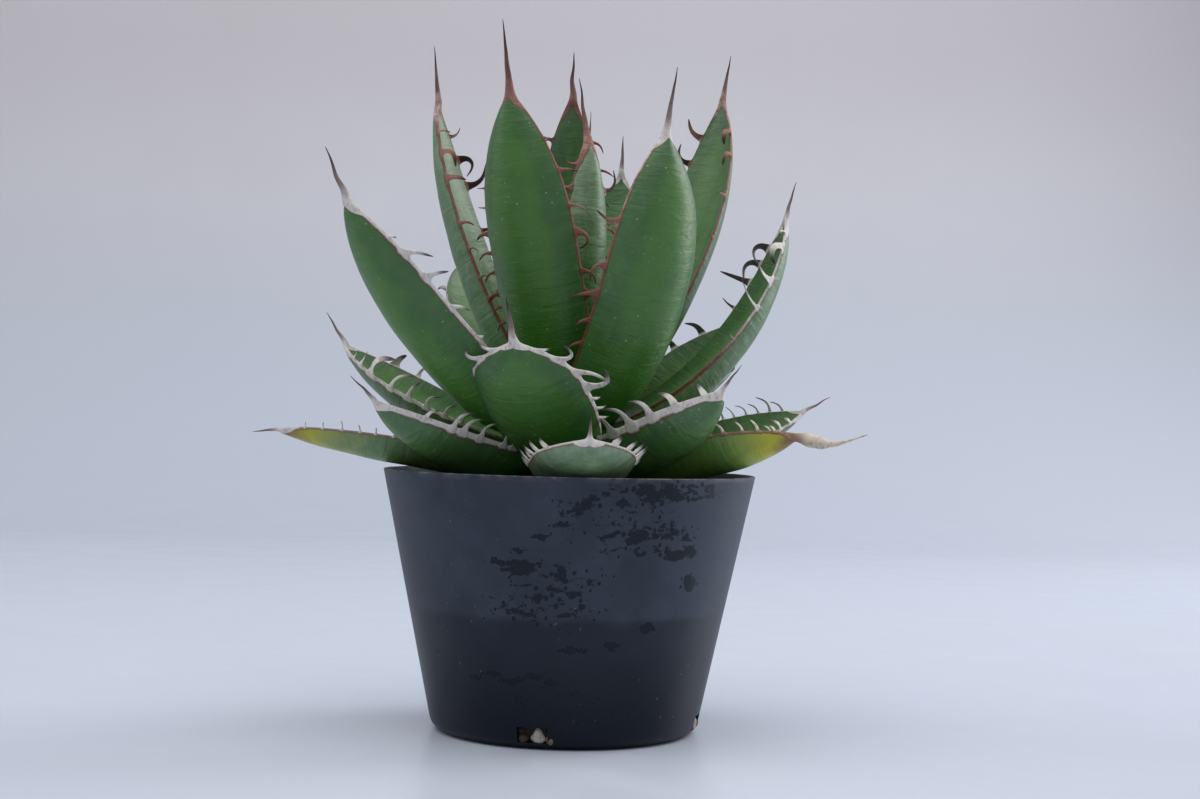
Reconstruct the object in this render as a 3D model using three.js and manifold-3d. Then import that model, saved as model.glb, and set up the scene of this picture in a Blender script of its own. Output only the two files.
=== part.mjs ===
// A potted agave: a rosette of 25 thick, toothed leaves and a closed central spear, on a short
// stem, growing from gritty soil in a thin-walled round nursery pot.
//
// Millimetres, +Z up. The origin is the centre of the pot's underside. The front is -Y, and an
// azimuth turns from the front towards +X: 0 is front, 90 is right, 180 is back.
import * as THREE from "three";
import { mergeVertices } from "three/addons/utils/BufferGeometryUtils.js";
import Module from "manifold-3d";

const wasm = await Module();
wasm.setup();

// Pot
const POT_HEIGHT = 83;
const POT_RIM_RADIUS = 60;
const POT_TAPER = 0.2107; // radius gained per millimetre of height
const POT_WALL = 1.1;
const POT_CORNER_RADIUS = 5;
const POT_SIDES = 40;
const POT_CORNER_STEPS = 4;

// Drain slots, cut through the pot's rounded bottom corner
const SLOT_COUNT = 4;
const SLOT_FIRST_AZIMUTH = -13;
const SLOT_WIDTH = 9.7;
const SLOT_BOTTOM = 2.2;
const SLOT_HEIGHT = 4.8;
const SLOT_DEPTH = 12;
const SLOT_CENTRE_RADIUS = 43;

// Soil and the short stem that carries the leaves
const SOIL_BELOW_RIM = 7;
const STEM_FOOT = 66;
const STEM_ROOT_RADIUS = 12;
const STEM_LOW = { radius: 15, height: POT_HEIGHT + 1 };
const STEM_HIGH = { radius: 3, height: POT_HEIGHT + 20 };
const STEM_SIDES = 22;

// Leaves
const GAP = 0.3; // between neighbouring solids
const WELD = 0.002;
const LEAF_SECTION_SIDES = 8;
const BLADE_STEPS = 9;
const SPINE_STEPS = 2;
const CENTRELINE_STEPS = 48;
const LEAF_ROOT_DEPTH = 2.8; // how far a blade starts inside the stem's surface
const LEAF_BASE_RATIO = 0.72; // base width over full width
const LEAF_WIDEST = 0.5; // where along the blade it is widest
const SPINE_RADIUS = 1.6;
const SPINE_POINT_RADIUS = 0.25;
const LEAF_THINNING = 2.5; // how late the blade thins to its tip
const LEAF_CROWDING = 1.5; // how much closer the rings stand near the tip
const ROOT_LENGTH = 0.25; // part of the blade over which it takes its full section
const ROOT_THICKNESS = 0.6; // part of the full thickness at the stem
const ROOT_CHANNEL = 0.3; // part of the full channel at the stem

// Marginal teeth
const TOOTH_HEIGHT = 3.2;
const TOOTH_RADIUS = 0.95;
const TOOTH_INSET = 1.2;
const TOOTH_HOOK = 0.9; // sideways shift of the point, back towards the leaf's base
const TEETH_FROM = 0.4;
const TEETH_TO = 0.9;
const TEETH_PER_SIDE = 3;

// Each leaf, from the oldest and lowest to the youngest. azimuth: where it points. rise: its mean
// angle above level. bend: how much steeper its tip is than its base. length, width, thick and
// spine are in mm. spineRise: how much steeper the spine is than the blade's tip. channel: depth of
// its upper face over its half width. roll: twist about its own length. fullness: how late the
// blade narrows to its tip. lean: sideways shift of its tip in mm.
const LEAVES = [
  { azimuth: 5, rise: 11, bend: 20, length: 50, width: 32, spine: 8, spineRise: 50, thick: 7, fullness: 4 },
  {
    azimuth: -85, rise: 7, bend: 0, length: 79, width: 22, spine: 9, spineRise: -15, thick: 6,
    channel: 0.1, roll: -15,
  },
  {
    azimuth: 70, rise: 10, bend: 5, length: 61, width: 26, spine: 23, spineRise: -15, thick: 7,
    channel: 0.2, roll: 20,
  },
  { azimuth: 180, rise: 10, bend: 5, length: 52, width: 28, spine: 9, thick: 6 },
  {
    azimuth: -60, rise: 16, bend: 10, length: 58, width: 28, spine: 12, spineRise: 20,
    thick: 8, channel: 0.35,
  },
  { azimuth: 90, rise: 14, bend: 10, length: 64, width: 26, spine: 11, spineRise: 10, roll: -20 },
  { azimuth: 140, rise: 14, bend: 8, length: 44, width: 26, spine: 10 },
  { azimuth: -132, rise: 16, bend: 8, length: 44, width: 26, spine: 10 },
  {
    azimuth: -17, rise: 32, bend: 10, length: 57, width: 36, spine: 16, spineRise: 20,
    thick: 8, fullness: 4,
  },
  {
    azimuth: 50, rise: 20, bend: 15, length: 52, width: 30, spine: 11, spineRise: 20,
    thick: 9, channel: 0.45,
  },
  {
    azimuth: -100, rise: 24, bend: 15, length: 72, width: 27, spine: 14, spineRise: 25,
    thick: 8, roll: 10,
  },
  { azimuth: -165, rise: 24, bend: 10, length: 58, width: 28, spine: 12 },
  { azimuth: 162, rise: 28, bend: 12, length: 52, width: 28, spine: 13 },
  {
    azimuth: 125, rise: 32, bend: 15, length: 75, width: 28, spine: 12, spineRise: 10,
    thick: 8, roll: -20,
  },
  { azimuth: -47, rise: 38, bend: 25, length: 106, width: 30, spine: 18, spineRise: 10, thick: 9 },
  {
    azimuth: -137, rise: 48, bend: 15, length: 75, width: 32, spine: 10, spineRise: 30,
    thick: 8, fullness: 4,
  },
  {
    azimuth: 100, rise: 47, bend: 55, length: 97, width: 22, spine: 15, spineRise: 0,
    thick: 8, roll: -5,
  },
  { azimuth: 195, rise: 56, bend: 16, length: 60, width: 26, spine: 14 },
  {
    azimuth: 37, rise: 64, bend: 45, length: 98, width: 34, spine: 22, spineRise: -10,
    thick: 8, lean: -2,
  },
  { azimuth: 160, rise: 64, bend: 15, length: 93, width: 22, spine: 15, spineRise: 15 },
  { azimuth: -105, rise: 66, bend: 20, length: 109, width: 22, spine: 22, spineRise: 8, thick: 8 },
  { azimuth: 128, rise: 61, bend: 35, length: 124, width: 32, spine: 19, spineRise: 0, roll: 5 },
  {
    azimuth: -28, rise: 68, bend: 15, length: 102, width: 31, spine: 24, spineRise: 0,
    thick: 8, lean: -2,
  },
  { azimuth: 195, rise: 86, bend: 10, length: 99, width: 20, spine: 18, spineRise: 0 },
  { azimuth: 25, rise: 85, bend: 10, length: 83, width: 15, spine: 25, spineRise: 20, thick: 5 },
];
const LEAF_DEFAULTS = { thick: 6.5, channel: 0.3, roll: 0, spineRise: 6, fullness: 3, lean: 0 };
const SPEAR = {
  bottom: 104, height: 88, radius: 5, waist: 0.6, waistLength: 0.3, tipHeight: 8, sides: 8, steps: 5,
};

const leafGreen = { color: 0x3d6b41, roughness: 0.45, metalness: 0 };
const youngGreen = { color: 0x6d9a72, roughness: 0.5, metalness: 0 };
const potBlack = { color: 0x2c323b, roughness: 0.5, metalness: 0 };
const soilBrown = { color: 0x3a2f26, roughness: 0.95, metalness: 0 };
const stemBrown = { color: 0x8a8260, roughness: 0.8, metalness: 0 };

// --- Solids ---

function solidFrom(geometry) {
  const bare = geometry.index ? geometry.toNonIndexed() : geometry.clone();
  bare.deleteAttribute("normal");
  bare.deleteAttribute("uv");
  const merged = mergeVertices(bare, 1e-4);
  return new wasm.Manifold(
    new wasm.Mesh({
      numProp: 3,
      vertProperties: Float32Array.from(merged.attributes.position.array),
      triVerts: Uint32Array.from(merged.index.array),
    }),
  );
}

function largestPiece(solid) {
  return solid.decompose().sort((a, b) => b.volume() - a.volume())[0];
}

// The triangles of a solid, with corners closer than WELD made one and slivers dropped.
function weldedGeometry(solid) {
  const { vertProperties, triVerts } = solid.getMesh();
  const raw = new THREE.BufferGeometry();
  raw.setAttribute("position", new THREE.BufferAttribute(vertProperties, 3));
  raw.setIndex(new THREE.BufferAttribute(triVerts, 1));
  const geometry = mergeVertices(raw, WELD);
  const corners = geometry.index.array;
  const kept = [];
  for (let i = 0; i < corners.length; i += 3) {
    const [a, b, c] = corners.subarray(i, i + 3);
    if (a !== b && b !== c && c !== a) kept.push(a, b, c);
  }
  geometry.setIndex(kept);
  return geometry;
}

function meshFrom(solid, name, look) {
  const geometry = weldedGeometry(solid);
  geometry.computeVertexNormals();
  const mesh = new THREE.Mesh(geometry, new THREE.MeshStandardMaterial(look));
  mesh.name = name;
  return mesh;
}

// A solid of revolution about +Z from points [radius, height], listed up its outside.
function turned(points, sides) {
  const profile = points.map(([radius, height]) => new THREE.Vector2(radius, height));
  return solidFrom(new THREE.LatheGeometry(profile, sides).rotateX(Math.PI / 2));
}

// --- Pot and soil ---

const potRadiusAt = (height) => POT_RIM_RADIUS - (POT_HEIGHT - height) * POT_TAPER;

// One skin of the pot, offset inwards: flat base, rounded corner, tapered wall up to `top`.
function potSkin(offset, top) {
  const taperAngle = Math.atan(POT_TAPER);
  const corner = POT_CORNER_RADIUS - offset;
  const centre = potRadiusAt(POT_CORNER_RADIUS) - POT_CORNER_RADIUS / Math.cos(taperAngle);
  const points = [[0, offset]];
  for (let i = 0; i <= POT_CORNER_STEPS; i++) {
    const angle = THREE.MathUtils.lerp(-Math.PI / 2, -taperAngle, i / POT_CORNER_STEPS);
    points.push([centre + corner * Math.cos(angle), POT_CORNER_RADIUS + corner * Math.sin(angle)]);
  }
  points.push([potRadiusAt(top) - offset / Math.cos(taperAngle), top]);
  return points;
}

function pot() {
  const outside = potSkin(0, POT_HEIGHT);
  const inside = potSkin(POT_WALL, POT_HEIGHT).reverse();
  let solid = turned([...outside, ...inside], POT_SIDES);
  for (let i = 0; i < SLOT_COUNT; i++) {
    const slot = new THREE.BoxGeometry(SLOT_WIDTH, SLOT_DEPTH, SLOT_HEIGHT);
    slot.translate(0, -SLOT_CENTRE_RADIUS, SLOT_BOTTOM + SLOT_HEIGHT / 2);
    slot.rotateZ(THREE.MathUtils.degToRad(SLOT_FIRST_AZIMUTH + (360 / SLOT_COUNT) * i));
    solid = solid.subtract(solidFrom(slot));
  }
  return solid;
}

function soil() {
  const top = POT_HEIGHT - SOIL_BELOW_RIM;
  return turned([...potSkin(POT_WALL + GAP, top), [0, top]], POT_SIDES);
}

function stem(grow) {
  return turned(
    [
      [0, STEM_FOOT - grow],
      [STEM_ROOT_RADIUS + grow, STEM_FOOT - grow],
      [STEM_LOW.radius + grow, STEM_LOW.height],
      [STEM_HIGH.radius + grow, STEM_HIGH.height + grow],
      [0, STEM_HIGH.height + grow],
    ],
    STEM_SIDES,
  );
}

// --- Leaves ---

const smooth = THREE.MathUtils.smoothstep;

function direction(azimuth, elevation) {
  const a = THREE.MathUtils.degToRad(azimuth);
  const e = THREE.MathUtils.degToRad(elevation);
  return new THREE.Vector3(Math.sin(a) * Math.cos(e), -Math.cos(a) * Math.cos(e), Math.sin(e));
}

// The leaf's own axes at a point of its centreline: along, across and up out of its upper face.
function axesAt(leaf, elevation) {
  const along = direction(leaf.azimuth, elevation);
  const across = direction(leaf.azimuth + 90, 0);
  across.applyAxisAngle(along, THREE.MathUtils.degToRad(-leaf.roll));
  return { along, across, up: new THREE.Vector3().crossVectors(along, across) };
}

const elevationAt = (leaf, s) => leaf.rise + leaf.bend * (s - 0.5);

// Points at even steps of the blade's centreline, from inside the stem to the blade's tip.
function centreline(leaf) {
  const radius = THREE.MathUtils.lerp(STEM_LOW.radius, STEM_HIGH.radius, leaf.seat) - LEAF_ROOT_DEPTH;
  const point = direction(leaf.azimuth, 0).multiplyScalar(radius);
  point.z = THREE.MathUtils.lerp(STEM_LOW.height, STEM_HIGH.height, leaf.seat);
  const step = (leaf.length + LEAF_ROOT_DEPTH) / CENTRELINE_STEPS;
  const points = [point.clone()];
  for (let i = 0; i < CENTRELINE_STEPS; i++) {
    point.addScaledVector(axesAt(leaf, elevationAt(leaf, (i + 0.5) / CENTRELINE_STEPS)).along, step);
    points.push(point.clone());
  }
  const sideways = direction(leaf.azimuth + 90, 0);
  points.forEach((p, i) => p.addScaledVector(sideways, leaf.lean * (i / CENTRELINE_STEPS) ** 3));
  return points;
}

function halfWidthAt(leaf, s) {
  const full = leaf.width / 2;
  const tip = SPINE_RADIUS / full;
  const swell = LEAF_BASE_RATIO + (1 - LEAF_BASE_RATIO) * Math.sin((Math.PI / 2) * (s / LEAF_WIDEST));
  const closing = 1 - ((s - LEAF_WIDEST) / (1 - LEAF_WIDEST)) ** leaf.fullness;
  return full * (s < LEAF_WIDEST ? swell : tip + (1 - tip) * closing);
}

function thicknessAt(leaf, s) {
  const root = THREE.MathUtils.lerp(ROOT_THICKNESS, 1, smooth(s, 0, ROOT_LENGTH));
  return SPINE_RADIUS + (leaf.thick * root - SPINE_RADIUS) * (1 - s ** LEAF_THINNING);
}

// One ring of the leaf at t: 0 to 1 runs up the blade, with a hollow upper face and a keeled
// underside, and 1 to 2 runs up its round spine.
function ringAt(leaf, points, t) {
  if (t <= 1) {
    const half = halfWidthAt(leaf, t);
    const top = leaf.channel * half * THREE.MathUtils.clamp(t / ROOT_LENGTH, ROOT_CHANNEL, 1);
    const place = t * CENTRELINE_STEPS;
    const before = Math.min(Math.floor(place), CENTRELINE_STEPS - 1);
    const centre = points[before].clone().lerp(points[before + 1], place - before);
    return { ...axesAt(leaf, elevationAt(leaf, t)), centre, half, top, under: top + thicknessAt(leaf, t) };
  }
  const axes = axesAt(leaf, elevationAt(leaf, 1) + leaf.spineRise);
  const centre = points.at(-1).clone().addScaledVector(axes.along, leaf.spine * (t - 1));
  const radius = THREE.MathUtils.lerp(SPINE_RADIUS, SPINE_POINT_RADIUS, t - 1);
  return { ...axes, centre, half: radius, top: -radius, under: radius };
}

// A grown blade lies `grow` outside the true one, also past its ends and its sharp margins.
function blade(leaf, grow) {
  const points = centreline(leaf);
  const steps = BLADE_STEPS + SPINE_STEPS;
  const geometry = new THREE.CylinderGeometry(1, 1, steps, LEAF_SECTION_SIDES, steps);
  const position = geometry.attributes.position;
  const vertex = new THREE.Vector3();
  for (let i = 0; i < position.count; i++) {
    vertex.fromBufferAttribute(position, i);
    const row = Math.round(vertex.y + steps / 2);
    const onBlade = 1 - (1 - Math.min(row / BLADE_STEPS, 1)) ** LEAF_CROWDING;
    const ring = ringAt(leaf, points, onBlade + Math.max(0, row - BLADE_STEPS) / SPINE_STEPS);
    const depth = vertex.z > 0 ? ring.under * vertex.z : ring.top * vertex.z ** 2;
    const sink = grow * (2 * Math.max(0, vertex.z) - 1);
    const past = row === 0 ? -grow : row === steps ? grow : 0;
    const place = ring.centre.addScaledVector(ring.across, (ring.half + grow) * vertex.x);
    place.addScaledVector(ring.up, -depth - sink).addScaledVector(ring.along, past);
    position.setXYZ(i, place.x, place.y, place.z);
  }
  return solidFrom(geometry);
}

// A hooked tooth on the margin at s, on the side where across is positive (+1) or negative (-1).
function tooth(leaf, points, s, side, grow) {
  const ring = ringAt(leaf, points, s);
  const height = TOOTH_INSET + TOOTH_HEIGHT + 2 * grow;
  const geometry = new THREE.ConeGeometry(TOOTH_RADIUS + 2 * grow, height, 3);
  geometry.translate(0, height / 2 - TOOTH_INSET - grow, 0);
  const position = geometry.attributes.position;
  for (let i = 0; i < position.count; i++) {
    const out = Math.max(0, position.getY(i)) / TOOTH_HEIGHT;
    position.setX(i, position.getX(i) - TOOTH_HOOK * out ** 2);
  }
  const outwards = ring.across.clone().multiplyScalar(side);
  const third = new THREE.Vector3().crossVectors(ring.along, outwards);
  const place = ring.centre.addScaledVector(outwards, ring.half);
  geometry.applyMatrix4(new THREE.Matrix4().makeBasis(ring.along, outwards, third).setPosition(place));
  return solidFrom(geometry);
}

function leafSolid(leaf, grow) {
  const points = centreline(leaf);
  let solid = blade(leaf, grow);
  for (let i = 0; i < TEETH_PER_SIDE; i++) {
    const s = THREE.MathUtils.lerp(TEETH_FROM, TEETH_TO, i / (TEETH_PER_SIDE - 1));
    for (const side of [1, -1]) solid = solid.add(tooth(leaf, points, s, side, grow));
  }
  return solid;
}

// The closed bud of the youngest leaves, from the stem's top to a sharp point.
function spear(grow) {
  const top = SPEAR.bottom + SPEAR.height;
  const points = [[0, SPEAR.bottom - grow]];
  for (let i = 0; i <= SPEAR.steps; i++) {
    const s = i / SPEAR.steps;
    const waist = THREE.MathUtils.lerp(SPEAR.waist, 1, smooth(s, 0, SPEAR.waistLength));
    const radius = waist * THREE.MathUtils.lerp(SPEAR.radius, SPINE_RADIUS, s ** 2);
    points.push([radius + grow, SPEAR.bottom - grow + SPEAR.height * s]);
  }
  points.push([0, top + SPEAR.tipHeight + grow]);
  return turned(points, SPEAR.sides);
}

// --- Assembly ---

const agave = new THREE.Group();
agave.name = "potted_agave";
agave.add(meshFrom(pot(), "pot", potBlack));
agave.add(meshFrom(stem(0), "stem", stemBrown));
agave.add(meshFrom(spear(0), "central_spear", youngGreen));

// Younger leaves are laid down first. Each older leaf wraps around them, so they are cut out of it.
let taken = stem(GAP).add(spear(GAP));
for (let i = LEAVES.length - 1; i >= 0; i--) {
  const leaf = { ...LEAF_DEFAULTS, ...LEAVES[i], seat: i / LEAVES.length };
  const name = `leaf_${String(i + 1).padStart(2, "0")}`;
  agave.add(meshFrom(largestPiece(leafSolid(leaf, 0).subtract(taken)), name, leafGreen));
  taken = taken.add(leafSolid(leaf, GAP));
}
agave.add(meshFrom(largestPiece(soil().subtract(taken)), "soil", soilBrown));

export default agave;
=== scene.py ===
"""A potted agave on a pale studio sweep.

Metres, +Z up, the front is -Y. An azimuth turns from the front towards +X. The plant's and the
pot's sizes are written in millimetres, as in the CAD model, and MM brings them to metres.
"""

import math
import random

import bmesh
import bpy
from mathutils import Matrix, Vector, noise


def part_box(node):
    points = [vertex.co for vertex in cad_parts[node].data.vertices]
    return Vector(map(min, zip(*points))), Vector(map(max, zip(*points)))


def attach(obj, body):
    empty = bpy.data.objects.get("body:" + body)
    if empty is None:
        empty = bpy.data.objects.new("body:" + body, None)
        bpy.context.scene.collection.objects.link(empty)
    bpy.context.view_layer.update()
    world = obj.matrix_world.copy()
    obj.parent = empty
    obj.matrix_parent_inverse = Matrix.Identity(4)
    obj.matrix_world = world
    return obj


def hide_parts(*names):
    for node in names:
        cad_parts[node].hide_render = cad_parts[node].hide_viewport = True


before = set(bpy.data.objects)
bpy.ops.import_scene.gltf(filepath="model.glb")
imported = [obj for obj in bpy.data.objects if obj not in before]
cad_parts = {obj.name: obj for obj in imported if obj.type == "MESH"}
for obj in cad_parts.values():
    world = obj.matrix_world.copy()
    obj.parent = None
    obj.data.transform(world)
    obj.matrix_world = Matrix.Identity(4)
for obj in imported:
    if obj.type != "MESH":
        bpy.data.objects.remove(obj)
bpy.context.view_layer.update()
MM = 0.001

# --- The camera, as the photograph was taken ---

CAMERA_DISTANCE = 0.600
CAMERA_HEIGHT = 0.0995
CAMERA_PITCH = math.radians(0.68)
CAMERA_YAW = math.radians(0.88)
CAMERA_ROLL = math.radians(1.41)
CAMERA_LENS = 55.5

# --- Sizes shared with the CAD model, in millimetres ---

POT_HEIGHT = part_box("pot")[1][2] / MM
POT_RIM_RADIUS = 60
POT_TAPER = 0.2107
POT_WALL = 1.1
POT_CORNER_RADIUS = 5
SLOT_AZIMUTHS = (-13, 77, 167, -103)
SLOT_HALF_ANGLE = 6.25
SLOT_BOTTOM, SLOT_TOP = 2.2, 7.0
SOIL_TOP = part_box("soil")[1][2] / MM
STEM_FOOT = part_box("stem")[0][2] / MM
STEM_LOW = (15, POT_HEIGHT + 1)  # radius, height
STEM_HIGH = (3, POT_HEIGHT + 20)
SPEAR_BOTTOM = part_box("central_spear")[0][2] / MM
SPEAR_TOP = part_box("central_spear")[1][2] / MM
LEAF_ROOT_DEPTH = 2.8
CENTRELINE_STEPS = 60

# --- The leaves ---

# Shape, as in the CAD model, with angles in degrees: azimuth, rise, bend, length, width, spine,
# spine_rise, thick, channel, roll, fullness and lean. Looks: where HOOKS has no list for a leaf,
# teeth gives the length and spacing of its teeth in mm and curl how far they bend towards the tip
# in degrees; lift is how far teeth stand up out of the upper face; foot is the width of a tooth's
# foot over its length; horn is the width of the horny margin in mm; grey is how much of it has
# greyed, from the tip down; yellow is how far the leaf has yellowed from its tip; bloom and
# bloom_above are the pale waxy coat of the underside and of the upper face; withered is true where
# the spine has dried to a ragged tail.
DEFAULTS = dict(
    spine_rise=6, thick=6.5, channel=0.3, roll=0, fullness=3, lean=0,
    teeth=(5, 8), curl=-60, lift=0.4, foot=0.46, horn=0.1,
    grey=0.6, yellow=0, bloom=0.3, bloom_above=0.3, withered=False,
)
LEAVES = [
    dict(azimuth=5, rise=11, bend=20, length=50, width=32, spine=8, spine_rise=50, thick=7, fullness=4,
         teeth=(3.4, 4), curl=60, lift=0.9, foot=0.26, horn=0.12, grey=1, bloom=1),
    dict(azimuth=-85, rise=7, bend=0, length=79, width=22, spine=9, spine_rise=-15, thick=6,
         channel=0.1, roll=-15, teeth=(2.2, 6), curl=20, lift=0.9, foot=0.25, horn=0, grey=0.8,
         yellow=0.55, bloom=0.9),
    dict(azimuth=70, rise=10, bend=5, length=61, width=26, spine=23, spine_rise=-15, thick=7,
         channel=0.2, roll=20, teeth=(3, 5), curl=-40, lift=0.9, yellow=1, bloom=0.3, withered=True),
    dict(azimuth=180, rise=10, bend=5, length=52, width=28, spine=9, thick=6, teeth=(4, 5), grey=0.9),
    dict(azimuth=-60, rise=16, bend=10, length=58, width=28, spine=12, spine_rise=20, thick=8,
         channel=0.35, lift=2, horn=0.6, grey=0.95, bloom=0.25),
    dict(azimuth=90, rise=14, bend=10, length=64, width=26, spine=11, spine_rise=10, roll=-20,
         teeth=(4.8, 3.8), curl=-50, lift=2, foot=0.26, horn=0.2, grey=0.95, bloom=0.5),
    dict(azimuth=140, rise=14, bend=8, length=44, width=26, spine=10, teeth=(4, 5), grey=0.8),
    dict(azimuth=-132, rise=16, bend=8, length=44, width=26, spine=10, teeth=(4, 5), grey=0.8),
    dict(azimuth=-17, rise=32, bend=10, length=57, width=36, spine=16, spine_rise=20, thick=8,
         fullness=4, lift=0, horn=0.5, grey=1, bloom=0.1),
    dict(azimuth=50, rise=20, bend=15, length=52, width=30, spine=11, spine_rise=20, thick=9,
         channel=0.45, lift=2, horn=0.7, grey=0.95),
    dict(azimuth=-100, rise=24, bend=15, length=72, width=27, spine=14, spine_rise=25, thick=8,
         roll=10, lift=2.5, horn=0.4, grey=0.95),
    dict(azimuth=-165, rise=24, bend=10, length=58, width=28, spine=12, grey=0.8),
    dict(azimuth=162, rise=28, bend=12, length=52, width=28, spine=13, grey=0.8),
    dict(azimuth=125, rise=32, bend=15, length=75, width=28, spine=12, spine_rise=10, thick=8,
         roll=-20, lift=1.5, horn=0.3, grey=0.7, bloom=0.5),
    dict(azimuth=-47, rise=38, bend=25, length=106, width=30, spine=18, spine_rise=10, thick=9,
         lift=0, horn=0.3, grey=0.62, bloom=0.15),
    dict(azimuth=-137, rise=48, bend=15, length=75, width=32, spine=10, spine_rise=30, thick=8,
         fullness=4, teeth=(5, 9), grey=0.75, bloom=0.8),
    dict(azimuth=100, rise=47, bend=55, length=97, width=22, spine=15, spine_rise=0, thick=8,
         roll=-5, lift=2, horn=0.12, grey=0.5, bloom=1),
    dict(azimuth=195, rise=56, bend=16, length=60, width=26, spine=14, grey=0.5),
    dict(azimuth=37, rise=64, bend=45, length=98, width=34, spine=22, spine_rise=-10, thick=8,
         lean=-2, lift=0, horn=0.15, grey=0.22, bloom=0.25),
    dict(azimuth=160, rise=64, bend=15, length=93, width=22, spine=15, spine_rise=15, grey=0.3),
    # Leaf 21's strong bloom_above is partly real wax and partly painted sheen: the pale that grazing light
    # from the right leaves on its upper face.
    dict(azimuth=-105, rise=66, bend=20, length=109, width=22, spine=22, spine_rise=8, thick=8,
         lift=2.2, grey=0.08, bloom=0.8, bloom_above=2.6),
    dict(azimuth=128, rise=61, bend=35, length=124, width=32, spine=19, spine_rise=0, roll=5,
         lift=2.2, grey=0.08, bloom=0.6, bloom_above=0.5),
    dict(azimuth=-28, rise=68, bend=15, length=102, width=31, spine=24, spine_rise=0, thick=8,
         lean=-2, lift=0, grey=0, bloom=0.15),
    dict(azimuth=195, rise=86, bend=10, length=99, width=20, spine=18, spine_rise=0,
         teeth=(4, 9), grey=0, bloom=0),
    dict(azimuth=25, rise=85, bend=10, length=83, width=15, spine=25, spine_rise=20, thick=5,
         lift=0.3, grey=0.03, bloom=1.3),
]

# The teeth of the leaves seen best, by leaf number and margin: right is 1 and left is -1, looking from the
# leaf's tip to its base with its upper face up. Each tooth: place along the blade, from 0 at its root to 1
# at its tip, length in mm and how far it curls towards the tip in degrees. A fourth value marks a tooth in
# painted shade: it is coloured dark all along, for the shadow it stands in.
HOOKS = {
    5: {1: [(0.8, 3.5, -60), (0.7, 6.5, -70), (0.6, 6, -70), (0.5, 6, -80), (0.4, 7, -20), (0.3, 6, -40)],
        -1: [(0.85, 3, -40), (0.66, 4.5, -60), (0.5, 5, -60), (0.36, 5, -60)]},
    9: {1: [(0.96, 2.5, 20), (0.9, 7, 110), (0.8, 8.5, -60), (0.66, 10, 90), (0.55, 2.5, 50), (0.46, 3, 40),
            (0.37, 2.5, 30)],
        -1: [(0.95, 4, 60), (0.88, 6.5, 140), (0.78, 7, 130), (0.68, 5, 110), (0.58, 2, 0)]},
    10: {1: [(0.9, 3, -20), (0.74, 4, -60), (0.58, 5, -60), (0.4, 5, -60)],
         -1: [(0.95, 3, 0), (0.82, 5, -60), (0.68, 6.5, -80), (0.54, 8, -70), (0.4, 9, -70),
              (0.26, 9, -60)]},
    11: {1: [(0.93, 3, 0), (0.88, 5, 0), (0.81, 9.5, -80), (0.71, 9, -60), (0.61, 6.5, -30), (0.52, 6, -80),
             (0.43, 5, -60), (0.35, 4, -60)],
         -1: [(0.86, 4, -40), (0.7, 5, -60), (0.52, 5, -60), (0.36, 4, -60)]},
    14: {1: [(0.86, 6, -60, 1), (0.72, 7, -120, 1), (0.54, 6, -60, 1)],
         -1: [(0.9, 3, -60), (0.75, 5, -60), (0.6, 5, -60), (0.45, 4, -60)]},
    15: {1: [(0.885, 2, -20), (0.83, 8, -20), (0.745, 8, -10), (0.63, 5, -40), (0.51, 3, 40)],
         -1: [(0.6, 1.5, 0), (0.45, 1.5, 0)]},
    17: {1: [(0.92, 8, -150, 1), (0.86, 8, -120, 1), (0.79, 8, 0, 1), (0.69, 4, 20, 1)],
         -1: [(0.97, 3, -100), (0.915, 8, -150), (0.82, 9, 20), (0.71, 9.5, 20), (0.56, 2.5, 0)]},
    19: {1: [(0.65, 1.2, 0), (0.57, 1, 0), (0.3, 2.5, 0), (0.23, 3, 0), (0.17, 4, 0)],
         -1: [(0.737, 6.5, 30), (0.6, 6, -110), (0.51, 7, -20), (0.42, 4, -60), (0.34, 4, -60)]},
    21: {1: [(0.95, 4, -30), (0.87, 7, -110), (0.78, 6.5, -30), (0.66, 4.5, -40), (0.56, 3, -60),
             (0.47, 3, -60), (0.4, 3.5, 30)],
         -1: [(0.93, 4, 60), (0.86, 8, -150, 1), (0.78, 8.5, 70, 1), (0.64, 5, 0, 1), (0.5, 5, 0, 1),
              (0.4, 5, 0, 1)]},
    22: {1: [(0.93, 6.5, 60), (0.87, 7, 100, 1), (0.7, 4, 0)],
         -1: [(0.92, 6, -120), (0.85, 6, -100), (0.725, 5, -20), (0.6, 2, 0)]},
    23: {1: [(0.88, 2.5, 0), (0.785, 4.5, -20), (0.68, 6, -60), (0.6, 7, -150), (0.49, 5, -90),
             (0.41, 6.5, 25), (0.33, 4.5, 10), (0.26, 3, -60)],
         -1: [(0.74, 2, 0), (0.68, 2, 0), (0.61, 4, -50), (0.54, 4.5, -60), (0.48, 4.5, -60),
              (0.42, 4.5, -60), (0.37, 4, -60), (0.32, 4, -60)]},
    25: {1: [(0.86, 7, 100, 1), (0.7, 4, -60)],
         -1: [(0.93, 4, 60), (0.84, 5, -60), (0.7, 5, -60)]},
}

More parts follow.
